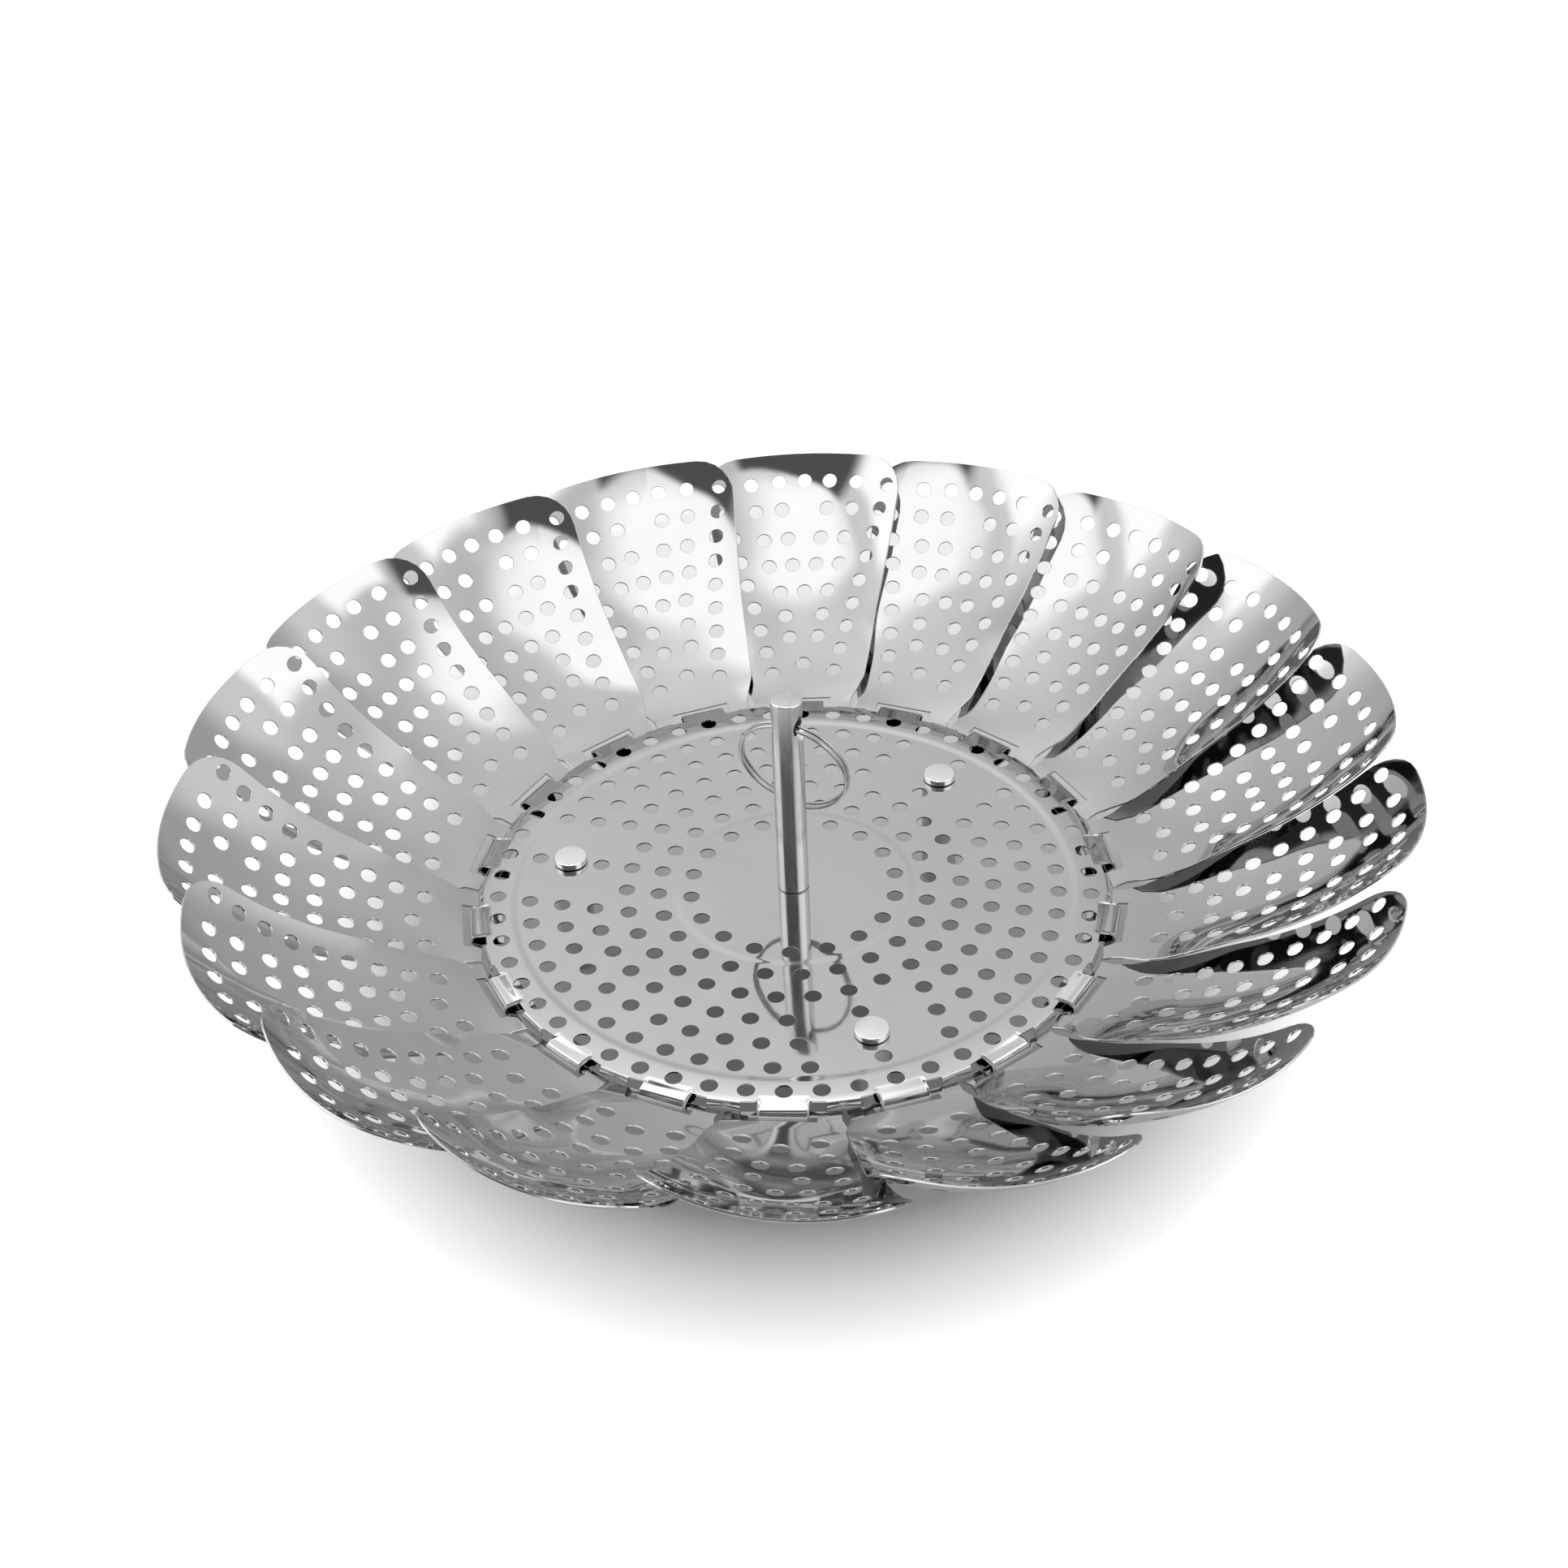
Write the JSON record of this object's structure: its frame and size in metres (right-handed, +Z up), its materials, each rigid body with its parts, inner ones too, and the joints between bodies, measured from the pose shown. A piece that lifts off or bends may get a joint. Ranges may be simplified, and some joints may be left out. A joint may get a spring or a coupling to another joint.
{
  "type": "folding steamer basket",
  "caption": "Folding steamer basket: perforated plate on feet, ringed by overlapping cupped petals that fold up on tabs, with a centre post and lifting ring.",
  "frame": {"origin": "on the surface that the basket stands on, under the middle of its plate, with the petals open", "axes": "+Z up along the centre post; -Y is the side that the picture shows nearest"},
  "size_m": [0.2316, 0.233, 0.0697],
  "materials": {
    "plate_steel": "satin polished stainless steel",
    "petal_steel": "mirror polished stainless steel",
    "post_steel": "drawn stainless steel rod",
    "wire_steel": "bright spring wire",
    "rivet_steel": "turned flat heads",
    "foot_steel": "turned stainless steel",
    "washer_steel": "plain steel",
    "nut_steel": "plain steel"
  },
  "bodies": {
    "base": {"base_plate": "plate_steel", "centre_post": "post_steel", "post_washer": "washer_steel", "post_nut": "nut_steel", "foot_1": "foot_steel", "foot_2": "foot_steel", "foot_3": "foot_steel", "foot_rivet_1": "rivet_steel", "foot_rivet_2": "rivet_steel", "foot_rivet_3": "rivet_steel"},
    "petal_01": {"petal_01": "petal_steel"},
    "petal_02": {"petal_02": "petal_steel"},
    "petal_03": {"petal_03": "petal_steel"},
    "petal_04": {"petal_04": "petal_steel"},
    "petal_05": {"petal_05": "petal_steel"},
    "petal_06": {"petal_06": "petal_steel"},
    "petal_07": {"petal_07": "petal_steel"},
    "petal_08": {"petal_08": "petal_steel"},
    "petal_09": {"petal_09": "petal_steel"},
    "petal_10": {"petal_10": "petal_steel"},
    "petal_11": {"petal_11": "petal_steel"},
    "petal_12": {"petal_12": "petal_steel"},
    "petal_13": {"petal_13": "petal_steel"},
    "petal_14": {"petal_14": "petal_steel"},
    "petal_15": {"petal_15": "petal_steel"},
    "petal_16": {"petal_16": "petal_steel"},
    "petal_17": {"petal_17": "petal_steel"},
    "petal_18": {"petal_18": "petal_steel"},
    "ring": {"lifting_ring": "wire_steel"}
  },
  "joints": [
    {"name": "petal_01_fold", "type": "hinge", "parent": "base", "child": "petal_01", "pos_m": [0, -0.0617, 0.0243], "axis": [-1, 0, 0], "range_deg": [0, 75]},
    {"name": "petal_02_fold", "type": "hinge", "parent": "base", "child": "petal_02", "pos_m": [0.0211, -0.05798, 0.0243], "axis": [-0.9397, -0.342, 0], "range_deg": [0, 75]},
    {"name": "petal_03_fold", "type": "hinge", "parent": "base", "child": "petal_03", "pos_m": [0.03966, -0.04726, 0.0243], "axis": [-0.766, -0.6428, 0], "range_deg": [0, 75]},
    {"name": "petal_04_fold", "type": "hinge", "parent": "base", "child": "petal_04", "pos_m": [0.05343, -0.03085, 0.0243], "axis": [-0.5, -0.866, 0], "range_deg": [0, 75]},
    {"name": "petal_05_fold", "type": "hinge", "parent": "base", "child": "petal_05", "pos_m": [0.06076, -0.01071, 0.0243], "axis": [-0.1736, -0.9848, 0], "range_deg": [0, 75]},
    {"name": "petal_06_fold", "type": "hinge", "parent": "base", "child": "petal_06", "pos_m": [0.06076, 0.01071, 0.0243], "axis": [0.1736, -0.9848, 0], "range_deg": [0, 75]},
    {"name": "petal_07_fold", "type": "hinge", "parent": "base", "child": "petal_07", "pos_m": [0.05343, 0.03085, 0.0243], "axis": [0.5, -0.866, 0], "range_deg": [0, 75]},
    {"name": "petal_08_fold", "type": "hinge", "parent": "base", "child": "petal_08", "pos_m": [0.03966, 0.04726, 0.0243], "axis": [0.766, -0.6428, 0], "range_deg": [0, 75]},
    {"name": "petal_09_fold", "type": "hinge", "parent": "base", "child": "petal_09", "pos_m": [0.0211, 0.05798, 0.0243], "axis": [0.9397, -0.342, 0], "range_deg": [0, 75]},
    {"name": "petal_10_fold", "type": "hinge", "parent": "base", "child": "petal_10", "pos_m": [0, 0.0617, 0.0243], "axis": [1, 0, 0], "range_deg": [0, 75]},
    {"name": "petal_11_fold", "type": "hinge", "parent": "base", "child": "petal_11", "pos_m": [-0.0211, 0.05798, 0.0243], "axis": [0.9397, 0.342, 0], "range_deg": [0, 75]},
    {"name": "petal_12_fold", "type": "hinge", "parent": "base", "child": "petal_12", "pos_m": [-0.03966, 0.04726, 0.0243], "axis": [0.766, 0.6428, 0], "range_deg": [0, 75]},
    {"name": "petal_13_fold", "type": "hinge", "parent": "base", "child": "petal_13", "pos_m": [-0.05343, 0.03085, 0.0243], "axis": [0.5, 0.866, 0], "range_deg": [0, 75]},
    {"name": "petal_14_fold", "type": "hinge", "parent": "base", "child": "petal_14", "pos_m": [-0.06076, 0.01071, 0.0243], "axis": [0.1736, 0.9848, 0], "range_deg": [0, 75]},
    {"name": "petal_15_fold", "type": "hinge", "parent": "base", "child": "petal_15", "pos_m": [-0.06076, -0.01071, 0.0243], "axis": [-0.1736, 0.9848, 0], "range_deg": [0, 75]},
    {"name": "petal_16_fold", "type": "hinge", "parent": "base", "child": "petal_16", "pos_m": [-0.05343, -0.03085, 0.0243], "axis": [-0.5, 0.866, 0], "range_deg": [0, 75]},
    {"name": "petal_17_fold", "type": "hinge", "parent": "base", "child": "petal_17", "pos_m": [-0.03966, -0.04726, 0.0243], "axis": [-0.766, 0.6428, 0], "range_deg": [0, 75]},
    {"name": "petal_18_fold", "type": "hinge", "parent": "base", "child": "petal_18", "pos_m": [-0.0211, -0.05798, 0.0243], "axis": [-0.9397, 0.342, 0], "range_deg": [0, 75]},
    {"name": "ring_swing", "type": "hinge", "parent": "base", "child": "ring", "pos_m": [0, 0, 0.0635], "axis": [0.9367, -0.3502, 0], "range_deg": [0, 330]}
  ],
  "couplings": [
    {"joint": "petal_02_fold", "follows": "petal_01_fold", "ratio": 1},
    {"joint": "petal_03_fold", "follows": "petal_01_fold", "ratio": 1},
    {"joint": "petal_04_fold", "follows": "petal_01_fold", "ratio": 1},
    {"joint": "petal_05_fold", "follows": "petal_01_fold", "ratio": 1},
    {"joint": "petal_06_fold", "follows": "petal_01_fold", "ratio": 1},
    {"joint": "petal_07_fold", "follows": "petal_01_fold", "ratio": 1},
    {"joint": "petal_08_fold", "follows": "petal_01_fold", "ratio": 1},
    {"joint": "petal_09_fold", "follows": "petal_01_fold", "ratio": 1},
    {"joint": "petal_10_fold", "follows": "petal_01_fold", "ratio": 1},
    {"joint": "petal_11_fold", "follows": "petal_01_fold", "ratio": 1},
    {"joint": "petal_12_fold", "follows": "petal_01_fold", "ratio": 1},
    {"joint": "petal_13_fold", "follows": "petal_01_fold", "ratio": 1},
    {"joint": "petal_14_fold", "follows": "petal_01_fold", "ratio": 1},
    {"joint": "petal_15_fold", "follows": "petal_01_fold", "ratio": 1},
    {"joint": "petal_16_fold", "follows": "petal_01_fold", "ratio": 1},
    {"joint": "petal_17_fold", "follows": "petal_01_fold", "ratio": 1},
    {"joint": "petal_18_fold", "follows": "petal_01_fold", "ratio": 1}
  ]
}
